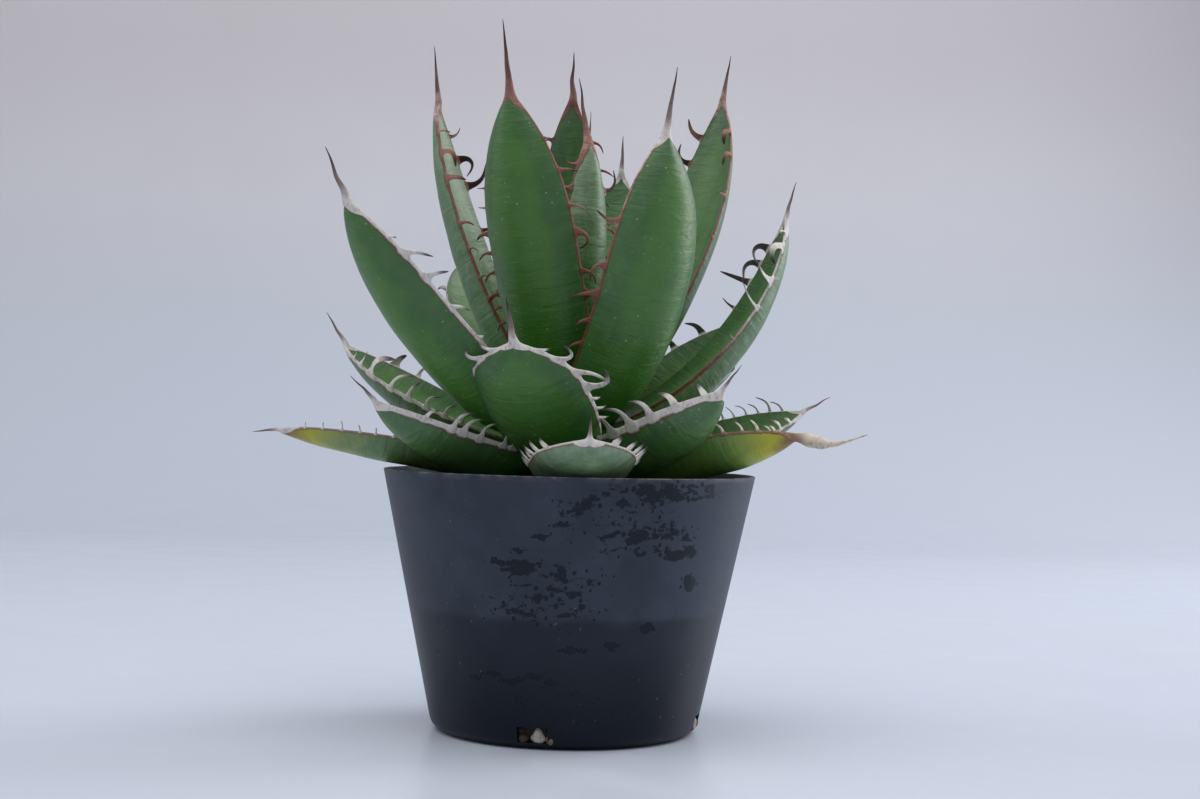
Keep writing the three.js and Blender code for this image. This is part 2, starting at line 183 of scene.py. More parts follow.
# A blade's cross-section, once round: part of the half width, and which face it lies on.
UPPER, UNDER = 1, -1
RIGHT_HALF = [0.4, 0.75, 0.93, 1.0]
SECTION = (
    [(0.0, UPPER)]
    + [(x, UPPER) for x in RIGHT_HALF]
    + [(x, UNDER) for x in reversed(RIGHT_HALF)]
    + [(0.0, UNDER)]
    + [(-x, UNDER) for x in RIGHT_HALF]
    + [(-x, UPPER) for x in reversed(RIGHT_HALF)]
)
MARGIN_COLUMNS = {1: (4, 5), -1: (13, 14)}  # the two columns that bound the right and left margin
MARGIN_THICKNESS = 0.6
MARGIN_SWELL = 0.07  # how far a margin stands out under a tooth, over the tooth's length
BLADE_STATIONS = 26
SPINE_STATIONS = 10
BASE_WIDTH, BELLY = 0.72, 0.28  # shares of the full width: at the base, and what the middle adds
TIP_HALF_WIDTH = 2.1
TIP_THICKNESS = 1.6
LUMP_HEIGHT = 0.35
STOUT_SPINE = 18  # a shorter spine than this is thinner too
POINT_RADIUS, SPINE_RADIUS, SPINE_FLARE = 0.1, 1.15, 0.8
DEEP_IN_HORN = 3  # the depth in the horn given to a spine and to a tooth past its foot
LEAF_SMOOTHING = 2

# A tooth, from its foot to its point: share of its length, and the width and depth that it then
# has, over its foot's.
TOOTH_STEPS = [
    (0.07, 0.72, 1.9), (0.08, 0.56, 1.9), (0.11, 0.46, 1.8), (0.14, 0.40, 1.6),
    (0.17, 0.34, 1.35), (0.21, 0.25, 1.0), (0.22, 0.08, 0.35),
]
TOOTH_STRETCH = 1.4  # makes up for what smoothing draws back from the points
FOOT_GAP = 0.9  # least space between two feet, in mm
LEAST_FOOT = 1.1  # least width of a foot, in mm
PAINTED_SHADE_SHARE = 0.8  # the least share of the way to its point given to a tooth in painted shade, so that it is coloured dark all along as if in shadow


def mix(a, b, t):
    return a + (b - a) * t


def clamp(x, low=0.0, high=1.0):
    return min(max(x, low), high)


def smooth_step(x, low, high):
    t = clamp((x - low) / (high - low))
    return t * t * (3 - 2 * t)


def direction(azimuth, elevation=0.0):
    a, e = math.radians(azimuth), math.radians(elevation)
    return Vector((math.sin(a) * math.cos(e), -math.cos(a) * math.cos(e), math.sin(e)))


class LeafForm:
    """Where each point of one leaf lies, in millimetres."""

    def __init__(self, number, leaf):
        self.__dict__.update({**DEFAULTS, **leaf})
        self.number = number
        self.chance = random.Random(number)
        self.full_length = self.length + LEAF_ROOT_DEPTH
        self.girth = clamp(self.spine / STOUT_SPINE, 0.6, 1.0)
        seat = (number - 1) / len(LEAVES)
        start = direction(self.azimuth) * (mix(STEM_LOW[0], STEM_HIGH[0], seat) - LEAF_ROOT_DEPTH)
        start.z = mix(STEM_LOW[1], STEM_HIGH[1], seat)
        self.line = [start]
        for i in range(CENTRELINE_STEPS):
            along = self.axes((i + 0.5) / CENTRELINE_STEPS)[0]
            self.line.append(self.line[-1] + along * self.full_length / CENTRELINE_STEPS)
        sideways = direction(self.azimuth + 90)
        for i, point in enumerate(self.line):
            point += sideways * self.lean * (i / CENTRELINE_STEPS) ** 3

    def axes(self, s, extra_rise=0.0):
        """Along the leaf, across it, and up out of its upper face, at s from base to blade tip."""
        along = direction(self.azimuth, self.rise + self.bend * (s - 0.5) + extra_rise)
        twist = Matrix.Rotation(math.radians(-self.roll), 3, along)
        across = twist @ direction(self.azimuth + 90)
        return along, across, along.cross(across)

    def centre(self, s):
        place = s * CENTRELINE_STEPS
        before = min(int(place), CENTRELINE_STEPS - 1)
        return self.line[before].lerp(self.line[before + 1], place - before)

    def half_width(self, s):
        full = self.width / 2
        if s < 0.5:
            half = full * (BASE_WIDTH + BELLY * math.sin(math.pi * s))
        else:
            half = mix(TIP_HALF_WIDTH * self.girth, full, 1 - (2 * s - 1) ** self.fullness)
        return half * (1 + 0.03 * noise.noise(Vector((s * 5, self.number, 0))))

    def blade_ring(self, s, foot_lengths):
        """The ring of the blade at s, with its margins swelling under the teeth that stand there."""
        _, across, up = self.axes(s)
        half = self.half_width(s)
        channel = self.channel * half * clamp(s / 0.25, 0.3, 1)
        rooting = 0.6 + 0.4 * smooth_step(s, 0, 0.25)
        thick = mix(rooting * self.thick, TIP_THICKNESS, s**2.5)
        edge = MARGIN_THICKNESS / 2
        ring = []
        for x, face in SECTION:
            hollow = 1 - x * x
            if face == UPPER:
                height = edge - channel * hollow
            else:
                height = -edge - (channel + thick - 2 * edge) * hollow**0.75
            lump = noise.noise(Vector((x * 2.2, s * self.full_length / 11, self.number * 3.1 + face)))
            height += LUMP_HEIGHT * lump * smooth_step(hollow, 0, 0.5)
            out = x * half + x * MARGIN_SWELL * foot_lengths.get(x, 0)
            ring.append(self.centre(s) + across * out + up * height)
        return ring

    def spine_radius(self, t):
        if self.withered:
            crinkle = 1 + 0.7 * noise.noise(Vector((t * 13, self.number, 4)))
            return (0.3 + 2.0 * (1 - smooth_step(t, 0.25, 0.8))) * crinkle
        flare = SPINE_FLARE * math.exp(-9 * t)
        return (POINT_RADIUS + SPINE_RADIUS * (1 - t) ** 1.1 + flare) * self.girth

    def spine_ring(self, t):
        """The ring of the spine at t, 0 at the blade's tip and 1 at the point."""
        heading, across, up = self.axes(1, self.spine_rise)
        kink = 0.04 * self.spine * math.sin(math.pi * t)
        centre = self.line[-1] + heading * self.spine * t
        centre += across * kink * noise.noise(Vector((t * 3, self.number, 1)))
        centre += up * kink * noise.noise(Vector((t * 3, self.number, 2)))
        if self.withered:
            centre += up * (2.0 * smooth_step(t, 0.5, 1) - 2.0 * math.sin(math.pi * t))
        radius = self.spine_radius(t)
        ring = []
        for x, face in SECTION:
            height = face * radius * 0.85 * math.sqrt(1.05 - x * x)
            ring.append(centre + across * x * radius + up * height)
        return ring

    def horn_width(self, s):
        """The horny margin, widening to a collar where the blade closes to its spine."""
        collar = 1 - smooth_step(self.half_width(s), 2.3, 5)
        return self.horn * smooth_step(s, 0.1, 0.6) + 0.05 + 1.7 * collar

    def listed_hooks(self):
        """(place along the blade, side, length, curl, painted shade) of each tooth, from the base up."""
        chance = self.chance
        hooks = []
        if self.number in HOOKS:
            for side, teeth in HOOKS[self.number].items():
                for s, length, curl, *painted_shade in teeth:
                    hooks.append((s, side, length, curl, bool(painted_shade)))
            return sorted(hooks)
        length, spacing = self.teeth
        for side in (1, -1):
            place = (0.2 + chance.uniform(0, 0.05)) * self.full_length
            while place < 0.95 * self.full_length:
                s = place / self.full_length
                growth = smooth_step(s, 0.12, 0.55) * (1 - 0.5 * smooth_step(s, 0.85, 1))
                tooth = length * (0.4 + 0.6 * growth) * chance.uniform(0.7, 1.2)
                hooks.append((s, side, tooth, self.curl * chance.uniform(0.5, 1.4), False))
                place += spacing * (0.6 + 0.4 * growth) * chance.uniform(0.8, 1.2)
        return sorted(hooks)

    def tooth_feet(self):
        """The feet of the teeth as [start, end, {side: (length, curl, painted shade)}], from the base up.

        Feet that would overlap across the blade share one pair of stations; on one side the second
        moves up to make room.
        """
        feet = []
        for s, side, length, curl, painted_shade in self.listed_hooks():
            reach = max(self.foot * length, LEAST_FOOT) / self.full_length
            gap = FOOT_GAP / self.full_length
            start, end = s - reach / 2, s + reach / 2
            if feet and start < feet[-1][1] + gap:
                if side not in feet[-1][2]:
                    feet[-1][2][side] = (length, curl, painted_shade)
                    continue
                start, end = feet[-1][1] + gap, feet[-1][1] + gap + reach
            if end < 1 - gap:
                feet.append([start, end, {side: (length, curl, painted_shade)}])
        return feet


def clear_stations(feet, full_length):
    """Even stations along the blade that keep clear of the teeth's feet."""
    even = [1 - (1 - i / BLADE_STATIONS) ** 1.3 for i in range(BLADE_STATIONS + 1)]
    away = 0.45 * FOOT_GAP / full_length
    clear = [s for s in even if all(s < start - 2 * away or s > end + 2 * away for start, end, _ in feet)]
    return sorted(clear + [foot[0] - away for foot in feet] + [foot[1] + away for foot in feet])


def draw_hook(bm, face, form, s, side, tooth, horn):
    """Draws one face of the margin out into a broad-footed, curving tooth."""
    length, curl, painted_shade = tooth
    length *= TOOTH_STRETCH
    along, across, up = form.axes(s)
    out = (across * side + up * form.lift * form.chance.uniform(0.7, 1.2)).normalized()
    along = (along - out * along.dot(out)).normalized()
    flat = out.cross(along)
    curl = math.radians(curl)
    lean = math.radians(form.chance.uniform(-8, 12))
    centre = face.calc_center_median()
    reached, wide, deep, sideways = 0.0, 1.0, 1.0, along
    for share, next_wide, next_deep in TOOTH_STEPS:
        angle = lean + curl * smooth_step(reached + share / 2, 0.05, 0.85)
        heading = out * math.cos(angle) + along * math.sin(angle)
        next_sideways = along * math.cos(angle) - out * math.sin(angle)
        next_centre = centre + heading * length * share * MM
        reached += share
        face = bmesh.ops.extrude_discrete_faces(bm, faces=[face])["faces"][0]
        for v in face.verts:
            offset = v.co - centre
            across_tooth = offset.dot(sideways) * next_wide / wide
            through_tooth = offset.dot(flat) * next_deep / deep
            v.co = next_centre + next_sideways * across_tooth + flat * through_tooth
            # A tooth in painted shade counts as near its point all along, so it is coloured dark all along.
            v[horn] = (DEEP_IN_HORN, max(reached, PAINTED_SHADE_SHARE if painted_shade else 0), s)
        centre, wide, deep, sideways = next_centre, next_wide, next_deep, next_sideways


def leaf_layers(bm):
    """The vertex values that the leaves' material reads, three in each.

    Place: across and along in mm, and which face. Horn: depth in it in mm, and the shares of the way
    to a point and along the blade. Habit: grey, yellow and bloom.
    """
    names = ("leaf_place", "leaf_horn", "leaf_habit")
    return [bm.verts.layers.float_vector.new(name) for name in names]


def leaf_piece(number, leaf, material):
    """One whole leaf: blade, horny margins, hooked teeth and terminal spine."""
    form = LeafForm(number, leaf)
    feet = form.tooth_feet()
    stations = clear_stations(feet, form.full_length)
    spots = sorted(stations + [foot[0] for foot in feet] + [foot[1] for foot in feet])
    foot_lengths = {}  # by station, the length of the tooth that stands there, by side
    for start, end, teeth in feet:
        for s in (start, end):
            foot_lengths[s] = {side: tooth[0] for side, tooth in teeth.items()}
    rings = [form.blade_ring(s, foot_lengths.get(s, {})) for s in spots]
    rings += [form.spine_ring((i + 1) / SPINE_STATIONS) for i in range(SPINE_STATIONS)]

    bm = bmesh.new()
    place, horn, habit = leaf_layers(bm)
    around, rows = len(SECTION), len(rings)
    bmesh.ops.create_grid(bm, x_segments=around, y_segments=rows - 1, size=1)
    grid = {}
    for v in bm.verts:
        column = round((v.co.x + 1) / 2 * around)
        row = round((v.co.y + 1) / 2 * (rows - 1))
        grid[row, column] = v
    for (row, column), v in grid.items():
        x, face = SECTION[column % around]
        v.co = rings[row][column % around] * MM
        if row < len(spots):
            s = spots[row]
            half = form.half_width(s)
            tooth = foot_lengths.get(s, {}).get(math.copysign(1, x), 0)
            v[place] = (x * half, s * form.full_length, face)
            v[horn] = (form.horn_width(s) + 0.03 * tooth - (1 - abs(x)) * half, 0, s)
        else:
            t = (row - len(spots) + 1) / SPINE_STATIONS
            v[place] = (x, form.full_length + t * form.spine, face)
            v[horn] = (DEEP_IN_HORN, t, 1)
    seam = [grid[row, column] for row in range(rows) for column in (0, around)]
    bmesh.ops.remove_doubles(bm, verts=seam, dist=1e-7)
    bmesh.ops.holes_fill(bm, edges=[e for e in bm.edges if e.is_boundary], sides=0)
    for start, _, teeth in feet:
        row = spots.index(start)
        for side, tooth in teeth.items():
            a, b = MARGIN_COLUMNS[side]
            foot = bm.faces.get((grid[row, a], grid[row + 1, a], grid[row + 1, b], grid[row, b]))
            draw_hook(bm, foot, form, start, side, tooth, horn)
    for v in bm.verts:
        v[habit] = (form.grey, form.yellow, form.bloom_above if v[place].z > 0 else form.bloom)
    bmesh.ops.recalc_face_normals(bm, faces=bm.faces[:])
    node = f"leaf_{number:02d}"
    piece = finished_piece(f"agave_{node}", bm, material, node)
    smooth = piece.modifiers.new("smoothing", "SUBSURF")
    smooth.levels = smooth.render_levels = LEAF_SMOOTHING


def smooth_object(name, bm, material):
    """Turns a bmesh into a smooth-shaded object in the scene."""
    for face in bm.faces:
        face.smooth = True
    mesh = bpy.data.meshes.new(name)
    bm.to_mesh(mesh)
    bm.free()
    mesh.materials.append(material)
    made = bpy.data.objects.new(name, mesh)
    bpy.context.scene.collection.objects.link(made)
    return made


def finished_piece(name, bm, material, node=None):
    """An object that rides on the plant, in place of a CAD node where one is named."""
    piece = smooth_object(name, bm, material)
    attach(piece, "root")
    if node:
        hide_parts(node)
    return piece


def spun(profile, steps, start_angle=0.0):
    """A closed bmesh of revolution about Z from a profile of (radius, height) points in mm."""
    bm = bmesh.new()
    turn = Matrix.Rotation(start_angle, 3, "Z")
    verts = [bm.verts.new(turn @ Vector((r, 0, z)) * MM) for r, z in profile]
    edges = [bm.edges.new(pair) for pair in zip(verts, verts[1:])]
    bmesh.ops.spin(
        bm, geom=verts + edges, axis=(0, 0, 1), cent=(0, 0, 0),
        steps=steps, angle=2 * math.pi, use_merge=True,
    )
    bmesh.ops.remove_doubles(bm, verts=bm.verts[:], dist=1e-6)
    bmesh.ops.recalc_face_normals(bm, faces=bm.faces[:])
    # The spin makes its faces in a different order on each run, so they are sorted.
    bm.verts.index_update()
    order = sorted(bm.faces, key=lambda face: sorted(v.index for v in face.verts))
    places = {face: place for place, face in enumerate(order)}
    bm.faces.sort(key=places.get)
    return bm


# --- Shader helpers ---


class Shader:
    """A short way to write a material's nodes."""

    def __init__(self, name, **constants):
        self.material = bpy.data.materials.new(name)
        self.material.use_nodes = True
        self.tree = self.material.node_tree
        self.surface = self.tree.nodes["Principled BSDF"]
        for socket, value in constants.items():
            self.surface.inputs[socket.replace("_", " ")].default_value = value

    def node(self, kind, inputs=(), **settings):
        made = self.tree.nodes.new(kind)
        for key, value in settings.items():
            setattr(made, key, value)
        for key, value in dict(inputs).items():
            self.put(made.inputs[key], value)
        return made

    def put(self, socket, value):
        if isinstance(value, bpy.types.NodeSocket):
            self.tree.links.new(value, socket)
        else:
            socket.default_value = value

    def feed(self, socket, value):
        self.put(self.surface.inputs[socket], value)

    def place(self):
        return self.node("ShaderNodeTexCoord").outputs["Object"]

    def attribute(self, name):
        found = self.node("ShaderNodeAttribute", attribute_name=name)
        parts = self.node("ShaderNodeSeparateXYZ", {0: found.outputs["Vector"]})
        return parts.outputs["X"], parts.outputs["Y"], parts.outputs["Z"]

    def math(self, kind, a, b=0.0, c=0.0):
        return self.node("ShaderNodeMath", {0: a, 1: b, 2: c}, operation=kind).outputs[0]

    def range(self, value, low, high, to_low=0.0, to_high=1.0, kind="SMOOTHSTEP"):
        inputs = {"Value": value, "From Min": low, "From Max": high, "To Min": to_low, "To Max": to_high}
        return self.node("ShaderNodeMapRange", inputs, interpolation_type=kind).outputs[0]

    def blend(self, factor, a, b):
        made = self.node("ShaderNodeMix", {0: factor}, data_type="RGBA")
        for socket, value in ((made.inputs[6], a), (made.inputs[7], b)):
            self.put(socket, value if isinstance(value, bpy.types.NodeSocket) else colour(value))
        return made.outputs[2]

    def stretch(self, vector, scale):
        return self.node("ShaderNodeMapping", {"Vector": vector, "Scale": scale}).outputs[0]

    def noise(self, vector, scale, detail=2.0, roughness=0.5, distortion=0.0):
        inputs = {"Vector": vector, "Scale": scale, "Detail": detail, "Roughness": roughness}
        inputs["Distortion"] = distortion
        return self.node("ShaderNodeTexNoise", inputs).outputs[0]

    def cells(self, vector, scale):
        made = self.node("ShaderNodeTexVoronoi", {"Vector": vector, "Scale": scale})
        return made.outputs["Distance"], made.outputs["Color"]

    def bump(self, height, distance_mm, strength=1.0):
        inputs = {"Height": height, "Distance": distance_mm * MM, "Strength": strength}
        self.feed("Normal", self.node("ShaderNodeBump", inputs).outputs[0])


def colour(value):
    """Red, green and blue with the full opacity that a colour socket also holds."""
    return (*value, 1.0)


# --- Materials ---

BASE_GREEN = (0.034, 0.150, 0.005)
BLUE_GREEN = (0.038, 0.125, 0.029)
BRIGHT_GREEN = (0.060, 0.176, 0.026)
OLD_LEAF_GREEN = (0.17, 0.33, 0.035)
RIB_GREEN = (0.085, 0.25, 0.04)
WAXY_GREEN = (0.27, 0.36, 0.24)
SCRATCH_GREEN = (0.36, 0.45, 0.34)
DRY_LEAF = (0.74, 0.63, 0.50)
DRY_BROWN = (0.30, 0.17, 0.09)
TIP_YELLOW = (0.50, 0.47, 0.02)
TIP_BROWN = (0.26, 0.15, 0.06)
YOUNG_HORN = (0.31, 0.14, 0.12)
ORANGE_HORN = (0.30, 0.13, 0.075)
RUSTY_HORN = (0.20, 0.055, 0.032)
SPINE_BROWN = (0.13, 0.060, 0.052)
OLD_HORN = (0.74, 0.69, 0.65)
DARK_HORN_AND_SHADE = (0.030, 0.014, 0.011)
HORN_BORDER = (0.14, 0.045, 0.025)


def leaf_skin():
    shade = Shader("leaf_skin", Specular_IOR_Level=0.4)
    spot = shade.place()
    across, along, _ = shade.attribute("leaf_place")
    horn_depth, to_point, part = shade.attribute("leaf_horn")
    grey, yellow, bloom = shade.attribute("leaf_habit")

    # The green: slow mottling; darker and bluer towards the margins, which is painted shade where the blade
    # turns from the light; stronger towards the base; paler on yellowing leaves; and with faint ribs along
    # the blade. The cross ripples that the bud pressed in show in the wax and the relief.
    mottle = shade.noise(spot, 80, 4, 0.6, 0.5)
    # Painted shade: the green darkens from the middle of the blade towards its margins.
    middle = shade.math("MULTIPLY_ADD", shade.range(horn_depth, -2, -9), 0.30, mottle)
    green = shade.blend(shade.range(middle, 0.42, 0.85), BLUE_GREEN, BRIGHT_GREEN)
    green = shade.blend(shade.range(part, 0.55, 0.1), green, BASE_GREEN)
    green = shade.blend(shade.math("MULTIPLY", yellow, 0.55), green, OLD_LEAF_GREEN)
    blade = shade.node("ShaderNodeCombineXYZ", {0: across, 1: along, 2: part}).outputs[0]
    ribs = shade.noise(shade.stretch(blade, (1.1, 0.03, 1)), 1.0, 3, 0.6)
    ripples = shade.noise(shade.stretch(blade, (0.10, 0.42, 1)), 1.0, 3, 0.55, 0.6)
    fine = shade.noise(shade.stretch(spot, (1, 1, 0.4)), 650, 3, 0.6)
    ribbing = shade.math("MULTIPLY", shade.range(ribs, 0.45, 0.75), shade.range(part, 0.75, 0.25))
    ripple_light = shade.math("MULTIPLY", shade.range(ripples, 0.5, 0.72), shade.range(part, 0.1, 0.5))
    green = shade.blend(shade.math("MULTIPLY", ribbing, 0.25), green, RIB_GREEN)

    # The pale wax, thickest near the margins, towards the tip and on the ripples.
    cloud = shade.range(shade.noise(spot, 130, 4, 0.65, 0.8), 0.4, 0.7)
    wax = shade.math("MULTIPLY", shade.range(horn_depth, -6.0, -0.3), 0.25)
    wax = shade.math("MULTIPLY_ADD", cloud, 0.25, wax)
    wax = shade.math("MULTIPLY_ADD", ripple_light, 0.22, wax)
    wax = shade.math("MULTIPLY_ADD", shade.range(part, 0.25, 1.0), 0.35, wax)
    coat = shade.math("MULTIPLY", bloom, shade.range(fine, 0.2, 0.8, 0.8, 1.2))
    wax = shade.math("MULTIPLY", wax, coat)
    green = shade.blend(wax, green, WAXY_GREEN)

    # Pale scratches and specks.
    flecks = shade.range(shade.cells(spot, 330)[0], 0.13, 0.05)
    flecks = shade.math("MULTIPLY", flecks, shade.range(shade.noise(spot, 70), 0.42, 0.58))
    streaked = shade.noise(shade.stretch(blade, (0.5, 0.35, 1)), 1.0, 5, 0.75, 1.2)
    scuffs = shade.range(streaked, 0.60, 0.70)
    scuffs = shade.math("MULTIPLY", scuffs, shade.range(bloom, 0.1, 0.9, 0.4, 0.9))
    flecks = shade.math("MULTIPLY", flecks, 0.7)
    worn = shade.math("MAXIMUM", flecks, shade.math("MULTIPLY", scuffs, 0.5))
    green = shade.blend(worn, green, SCRATCH_GREEN)

    # Old leaves yellow and then brown from the tip.
    ageing = shade.math("MULTIPLY_ADD", mottle, 0.25, part)
    yellowing = shade.math("MULTIPLY", shade.range(ageing, 0.78, 1.06), shade.range(yellow, 0, 0.6))
    green = shade.blend(yellowing, green, TIP_YELLOW)
    scorch = shade.math("MULTIPLY", shade.range(ageing, 1.0, 1.1), shade.range(yellow, 0, 0.3))
    green = shade.blend(scorch, green, TIP_BROWN)

    # The horn: rusty low on the leaf, pinkish and orange brown above, grey where old, brown along the
    # spine, pale and streaked where the leaf has dried, and otherwise black at each point. On teeth marked
    # for painted shade the black covers the whole tooth, for the shadow they stand in.
    grain = shade.noise(shade.stretch(spot, (1, 1, 0.5)), 900, 4, 0.65)
    patchy = shade.noise(spot, 350, 3, 0.6)
    young = shade.blend(shade.range(patchy, 0.4, 0.65), YOUNG_HORN, ORANGE_HORN)
    horn = shade.blend(shade.range(part, 0.35, 0.75), RUSTY_HORN, young)
    greyed_from = shade.math("MULTIPLY_ADD", grey, -1.2, 1.05)
    aged = shade.math("MULTIPLY_ADD", patchy, 0.5, shade.math("SUBTRACT", part, greyed_from))
    aged = shade.range(aged, 0.2, 0.5)
    horn = shade.blend(aged, horn, OLD_HORN)
    browning = shade.math("MULTIPLY", shade.range(part, 0.985, 0.999), shade.range(to_point, 0.05, 0.4))
    horn = shade.blend(shade.math("MULTIPLY", browning, 0.8), horn, SPINE_BROWN)
    streaks = shade.range(grain, 0.5, 0.75, 0.0, 0.5)
    scorched = shade.math("MAXIMUM", shade.range(to_point, 0.22, 0.02, 0.0, 0.85), streaks)
    dry = shade.blend(scorched, DRY_LEAF, DRY_BROWN)
    horn = shade.blend(shade.range(yellow, 0.6, 0.9), horn, dry)
    horn = shade.blend(shade.range(grain, 0.45, 0.75, 0.0, 0.45), horn, HORN_BORDER)
    # The black at the points is the horn's own; on teeth in painted shade it covers the whole tooth as
    # painted shade.
    blackening_and_shade = shade.math("MULTIPLY", shade.range(yellow, 0.9, 0.6), 0.92)
    blackening_and_shade = shade.math("MULTIPLY", shade.range(to_point, 0.4, 0.85), blackening_and_shade)
    horn = shade.blend(blackening_and_shade, horn, DARK_HORN_AND_SHADE)
    reach = shade.math("MULTIPLY_ADD", shade.math("SUBTRACT", grain, 0.5), 0.4, horn_depth)
    is_horn = shade.range(reach, -0.06, 0.06)
    border = shade.math("SUBTRACT", 1.0, shade.range(shade.math("ABSOLUTE", reach), 0.04, 0.22))
    skin = shade.blend(is_horn, green, horn)
    skin = shade.blend(shade.math("MULTIPLY", border, 0.7), skin, HORN_BORDER)
    shade.feed("Base Color", skin)
    rough = shade.range(fine, 0.3, 0.7, 0.36, 0.5, "LINEAR")
    shade.feed("Roughness", shade.math("MULTIPLY_ADD", is_horn, 0.22, rough))
    relief = shade.math("MULTIPLY_ADD", ripples, 4.0, shade.math("MULTIPLY", fine, 0.25))
    relief = shade.math("MULTIPLY_ADD", ribs, shade.range(part, 0.85, 0.2, 0.1, 0.9), relief)
    relief = shade.math("MULTIPLY_ADD", is_horn, shade.math("MULTIPLY_ADD", grain, 0.9, 0.4), relief)
    shade.bump(relief, 0.15, 0.8)
    return shade.material


POT_BLACK = (0.001, 0.004, 0.012)
POT_DUST_AND_LIGHT = (0.048, 0.060, 0.086)
POT_EDGE = (0.16, 0.16, 0.16)
POT_SPECKS = (0.45, 0.47, 0.48)
SOIL_DARK, SOIL_PALE = (0.018, 0.012, 0.008), (0.065, 0.045, 0.028)
SOIL_GAP_SHADE = (0.010, 0.007, 0.005)
# Loose grains, from dark bark over lava to pale pumice: place on the ramp, and colour.
GRIT_TONES = [
    (0.0, (0.020, 0.013, 0.009)), (0.35, (0.06, 0.04, 0.026)), (0.55, (0.16, 0.075, 0.04)),
    (0.72, (0.30, 0.22, 0.14)), (0.88, (0.50, 0.46, 0.40)), (1.0, (0.62, 0.60, 0.55)),
]
GRIT_PIT_SHADE = (0.01, 0.008, 0.006)
BARK_DARK, BARK_PALE = (0.10, 0.065, 0.035), (0.34, 0.29, 0.16)
PAPER_LOW, PAPER_HIGH = (0.60, 0.66, 0.77), (0.62, 0.585, 0.60)
PAPER_MIST = (0.66, 0.67, 0.72)


def pot_plastic():
    shade = Shader("pot_plastic", Specular_IOR_Level=0.22)
    spot = shade.place()
    wet, dust_and_light, rim = shade.attribute("pot_marks")
    film_and_light = shade.noise(spot, 55, 5, 0.6)
    ragged = shade.noise(shade.stretch(spot, (1, 1, 1.6)), 260, 4, 0.62, 0.4)
    damp = shade.range(shade.math("MULTIPLY_ADD", ragged, 1.0, wet), 0.97, 1.01)
    drop, drop_tone = shade.cells(shade.stretch(spot, (1, 1, 0.8)), 520)
    drop_size = shade.math("MULTIPLY_ADD", wet, 0.95, -0.20)
    drop_size = shade.math("MULTIPLY", drop_size, shade.range(drop_tone, 0.2, 0.8, 0.3, 1.7))
    drops = shade.range(shade.math("SUBTRACT", drop_size, drop), -0.02, 0.03)
    damp = shade.math("MAXIMUM", damp, drops)
    # The dust film, which also holds the painted light on the pot's right side.
    film_and_light = shade.math("MULTIPLY", shade.range(film_and_light, 0.25, 0.8, 0.55, 1.0), dust_and_light)
    film_and_light = shade.math("MULTIPLY", film_and_light, shade.math("SUBTRACT", 1.0, shade.math("MULTIPLY", damp, 0.88)))
    coat = shade.blend(film_and_light, POT_BLACK, POT_DUST_AND_LIGHT)
    specks = shade.range(shade.cells(spot, 330)[0], 0.12, 0.05)
    specks = shade.math("MULTIPLY", specks, shade.range(shade.noise(spot, 40), 0.52, 0.66))
    coat = shade.blend(shade.math("MULTIPLY", specks, 0.22), coat, POT_SPECKS)
    coat = shade.blend(shade.math("MULTIPLY", rim, shade.range(ragged, 0.4, 0.6)), coat, POT_EDGE)
    shade.feed("Base Color", coat)
    dry_rough = shade.range(film_and_light, 0, 1, 0.38, 0.52, "LINEAR")
    shade.feed("Roughness", shade.math("MULTIPLY_ADD", damp, -0.12, dry_rough))
    shade.bump(shade.math("MULTIPLY_ADD", ragged, 0.4, shade.noise(spot, 1800, 2)), 0.03, 0.5)
    return shade.material


def soil_mix():
    shade = Shader("soil_mix")
    spot = shade.place()
    crumbs = shade.cells(spot, 420)[0]
    dirt = shade.blend(shade.noise(spot, 150, 4), SOIL_DARK, SOIL_PALE)
    # Painted shade: the soil darkens in the hollows between the crumbs, where the bump sinks.
    dirt = shade.blend(shade.range(crumbs, 0.1, 0.5, 0.0, 0.8), dirt, SOIL_GAP_SHADE)
    shade.feed("Base Color", dirt)
    shade.feed("Roughness", shade.range(crumbs, 0.0, 0.6, 0.85, 1.0))
    shade.bump(shade.math("SUBTRACT", 1.0, crumbs), 0.9)
    return shade.material


def grit():
    shade = Shader("grit")
    spot = shade.place()
    tone, _, _ = shade.attribute("grit_tone")
    ramp = shade.node("ShaderNodeValToRGB", {"Fac": tone})
    while len(ramp.color_ramp.elements) < len(GRIT_TONES):
        ramp.color_ramp.elements.new(0.5)
    for element, (position, value) in zip(ramp.color_ramp.elements, GRIT_TONES):
        element.position = position
        element.color = colour(value)
    pits = shade.noise(spot, 1500, 3, 0.7)
    # Painted shade: the grains darken in their pits, where the bump sinks.
    pit_shade = shade.range(pits, 0.4, 0.65, 0.35, 0.0)
    shade.feed("Base Color", shade.blend(pit_shade, ramp.outputs[0], GRIT_PIT_SHADE))
    shade.feed("Roughness", shade.range(pits, 0.2, 0.8, 0.8, 1.0))
    shade.bump(pits, 0.25)
    return shade.material


def stem_bark():
    shade = Shader("stem_bark")
    spot = shade.place()
    fibres = shade.noise(shade.stretch(spot, (1, 1, 0.25)), 700, 4, 0.65)
    bark = shade.blend(shade.range(fibres, 0.3, 0.7), BARK_DARK, BARK_PALE)
    shade.feed("Base Color", bark)
    shade.feed("Roughness", shade.range(fibres, 0.2, 0.8, 0.7, 0.95))
    shade.bump(fibres, 0.4)
    return shade.material


